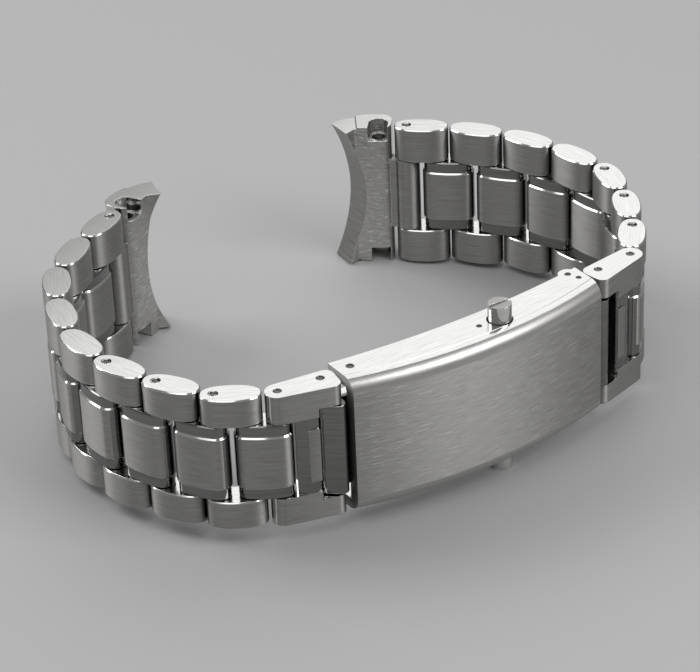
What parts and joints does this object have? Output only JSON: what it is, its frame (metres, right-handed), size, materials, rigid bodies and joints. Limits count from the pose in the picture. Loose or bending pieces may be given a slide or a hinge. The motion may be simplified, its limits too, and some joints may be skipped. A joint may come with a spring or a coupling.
{
  "type": "watch bracelet",
  "caption": "Stainless steel watch bracelet of pinned outer links and centre pieces, with hollowed end links and a folding clasp released by push-buttons.",
  "frame": {"origin": "middle of the bracelet's bounding box in plan, at its lowest point, which is the end of the lower push-button", "axes": "+X along the clasp from half A to half B, +Y from the clasp to the gap for the watch head, +Z across the band, parallel to every hinge pin"},
  "size_m": [0.0776, 0.0572, 0.0224],
  "materials": {
    "outer_links": "satin sides and end faces, polished bevels",
    "centre_pieces": "satin block between polished strips",
    "end_links": "satin sides, machined inside",
    "clasp_links": "satin faces, polished edges",
    "cover": "satin along its length, polished bevels",
    "blades": "satin",
    "buttons": "polished",
    "pins": "ground",
    "spring": "drawn wire"
  },
  "bodies": {
    "clasp": {"clasp_cover": "cover", "cover_pins": "pins"},
    "connecting_link": {"connecting_link": "clasp_links"},
    "clasp_link_a": {"clasp_link_a": "clasp_links", "clasp_link_a_pins": "pins"},
    "link_a8": {"link_a8_outers": "outer_links", "link_a8_centre": "centre_pieces", "link_a8_pins": "pins"},
    "link_a7": {"link_a7_outers": "outer_links", "link_a7_centre": "centre_pieces", "link_a7_pins": "pins"},
    "link_a6": {"link_a6_outers": "outer_links", "link_a6_centre": "centre_pieces", "link_a6_pins": "pins"},
    "link_a5": {"link_a5_outers": "outer_links", "link_a5_centre": "centre_pieces", "link_a5_pins": "pins"},
    "link_a4": {"link_a4_outers": "outer_links", "link_a4_centre": "centre_pieces", "link_a4_pins": "pins"},
    "link_a3": {"link_a3_outers": "outer_links", "link_a3_centre": "centre_pieces", "link_a3_pins": "pins"},
    "link_a2": {"link_a2_outers": "outer_links", "link_a2_centre": "centre_pieces", "link_a2_pins": "pins"},
    "link_a1": {"link_a1_outers": "outer_links", "link_a1_centre": "centre_pieces", "link_a1_pins": "pins"},
    "end_link_a": {"end_link_a": "end_links"},
    "wide_blade": {"wide_blade": "blades", "blade_pin": "pins"},
    "narrow_blade": {"narrow_blade": "blades"},
    "clasp_link_b": {"clasp_link_b": "clasp_links", "clasp_link_b_pins": "pins"},
    "link_b7": {"link_b7_outers": "outer_links", "link_b7_centre": "centre_pieces", "link_b7_pins": "pins"},
    "link_b6": {"link_b6_outers": "outer_links", "link_b6_centre": "centre_pieces", "link_b6_pins": "pins"},
    "link_b5": {"link_b5_outers": "outer_links", "link_b5_centre": "centre_pieces", "link_b5_pins": "pins"},
    "link_b4": {"link_b4_outers": "outer_links", "link_b4_centre": "centre_pieces", "link_b4_pins": "pins"},
    "link_b3": {"link_b3_outers": "outer_links", "link_b3_centre": "centre_pieces", "link_b3_pins": "pins"},
    "link_b2": {"link_b2_outers": "outer_links", "link_b2_centre": "centre_pieces", "link_b2_pins": "pins"},
    "link_b1": {"link_b1_outers": "outer_links", "link_b1_centre": "centre_pieces", "link_b1_pins": "pins"},
    "end_link_b": {"end_link_b": "end_links"},
    "button_top": {"button_top": "buttons", "button_spring": "spring"},
    "button_bottom": {"button_bottom": "buttons"}
  },
  "joints": [
    {"name": "connecting_link_hinge", "type": "hinge", "parent": "clasp", "child": "connecting_link", "pos_m": [-0.01509, -0.02296, 0.0112], "axis": [0, 0, -1], "range_deg": [-4, 10]},
    {"name": "clasp_link_a_hinge", "type": "hinge", "parent": "connecting_link", "child": "clasp_link_a", "pos_m": [-0.01899, -0.02266, 0.0112], "axis": [0, 0, 1], "range_deg": [-33, 19]},
    {"name": "link_a8_hinge", "type": "hinge", "parent": "clasp_link_a", "child": "link_a8", "pos_m": [-0.02435, -0.022, 0.0112], "axis": [0, 0, -1], "range_deg": [-41, 24]},
    {"name": "link_a7_hinge", "type": "hinge", "parent": "link_a8", "child": "link_a7", "pos_m": [-0.03043, -0.01805, 0.0112], "axis": [0, 0, 1], "range_deg": [-20, 45]},
    {"name": "link_a6_hinge", "type": "hinge", "parent": "link_a7", "child": "link_a6", "pos_m": [-0.03427, -0.0119, 0.0112], "axis": [0, 0, -1], "range_deg": [-32, 33]},
    {"name": "link_a5_hinge", "type": "hinge", "parent": "link_a6", "child": "link_a5", "pos_m": [-0.03675, -0.00509, 0.0112], "axis": [0, 0, 1], "range_deg": [-28, 37]},
    {"name": "link_a4_hinge", "type": "hinge", "parent": "link_a5", "child": "link_a4", "pos_m": [-0.03713, 0.00215, 0.0112], "axis": [0, 0, -1], "range_deg": [-39, 26]},
    {"name": "link_a3_hinge", "type": "hinge", "parent": "link_a4", "child": "link_a3", "pos_m": [-0.03513, 0.00912, 0.0112], "axis": [0, 0, 1], "range_deg": [-33, 32]},
    {"name": "link_a2_hinge", "type": "hinge", "parent": "link_a3", "child": "link_a2", "pos_m": [-0.03173, 0.01552, 0.0112], "axis": [0, 0, -1], "range_deg": [-43, 22]},
    {"name": "link_a1_hinge", "type": "hinge", "parent": "link_a2", "child": "link_a1", "pos_m": [-0.02609, 0.02008, 0.0112], "axis": [0, 0, 1], "range_deg": [-34, 31]},
    {"name": "end_link_a_hinge", "type": "hinge", "parent": "link_a1", "child": "end_link_a", "pos_m": [-0.01969, 0.02348, 0.0112], "axis": [0, 0, -1], "range_deg": [-20, 45]},
    {"name": "wide_blade_hinge", "type": "hinge", "parent": "clasp", "child": "wide_blade", "pos_m": [0.01716, -0.02171, 0.0112], "axis": [0, 0, -1], "range_deg": [0, 170]},
    {"name": "narrow_blade_hinge", "type": "hinge", "parent": "wide_blade", "child": "narrow_blade", "pos_m": [-0.01279, -0.02217, 0.0112], "axis": [0, 0, 1], "range_deg": [0, 170]},
    {"name": "clasp_link_b_hinge", "type": "hinge", "parent": "narrow_blade", "child": "clasp_link_b", "pos_m": [0.02101, -0.02266, 0.0112], "axis": [0, 0, -1], "range_deg": [-39, 18]},
    {"name": "link_b7_hinge", "type": "hinge", "parent": "clasp_link_b", "child": "link_b7", "pos_m": [0.02638, -0.0221, 0.0112], "axis": [0, 0, 1], "range_deg": [-58, 7]},
    {"name": "link_b6_hinge", "type": "hinge", "parent": "link_b7", "child": "link_b6", "pos_m": [0.03114, -0.01662, 0.0112], "axis": [0, 0, -1], "range_deg": [-35, 30]},
    {"name": "link_b5_hinge", "type": "hinge", "parent": "link_b6", "child": "link_b5", "pos_m": [0.03487, -0.01041, 0.0112], "axis": [0, 0, 1], "range_deg": [-32, 33]},
    {"name": "link_b4_hinge", "type": "hinge", "parent": "link_b5", "child": "link_b4", "pos_m": [0.03723, -0.00355, 0.0112], "axis": [0, 0, -1], "range_deg": [-18, 47]},
    {"name": "link_b3_hinge", "type": "hinge", "parent": "link_b4", "child": "link_b3", "pos_m": [0.03622, 0.00363, 0.0112], "axis": [0, 0, 1], "range_deg": [-34, 31]},
    {"name": "link_b2_hinge", "type": "hinge", "parent": "link_b3", "child": "link_b2", "pos_m": [0.03351, 0.01035, 0.0112], "axis": [0, 0, -1], "range_deg": [-30, 35]},
    {"name": "link_b1_hinge", "type": "hinge", "parent": "link_b2", "child": "link_b1", "pos_m": [0.02914, 0.01614, 0.0112], "axis": [0, 0, 1], "range_deg": [-32, 33]},
    {"name": "end_link_b_hinge", "type": "hinge", "parent": "link_b1", "child": "end_link_b", "pos_m": [0.02367, 0.02089, 0.0112], "axis": [0, 0, -1], "range_deg": [-45, 20]},
    {"name": "button_top_press", "type": "slide", "parent": "clasp", "child": "button_top", "axis": [0, 0, -1], "range_m": [0, 0.0006], "stiffness_N_per_m": 2500, "springref_m": -0.0004, "deforming": ["button_spring"]},
    {"name": "button_bottom_press", "type": "slide", "parent": "clasp", "child": "button_bottom", "axis": [0, 0, 1], "range_m": [0, 0.0006], "stiffness_N_per_m": 2500, "springref_m": -0.0004}
  ],
  "couplings": [
    {"joint": "narrow_blade_hinge", "follows": "wide_blade_hinge", "ratio": 1}
  ]
}
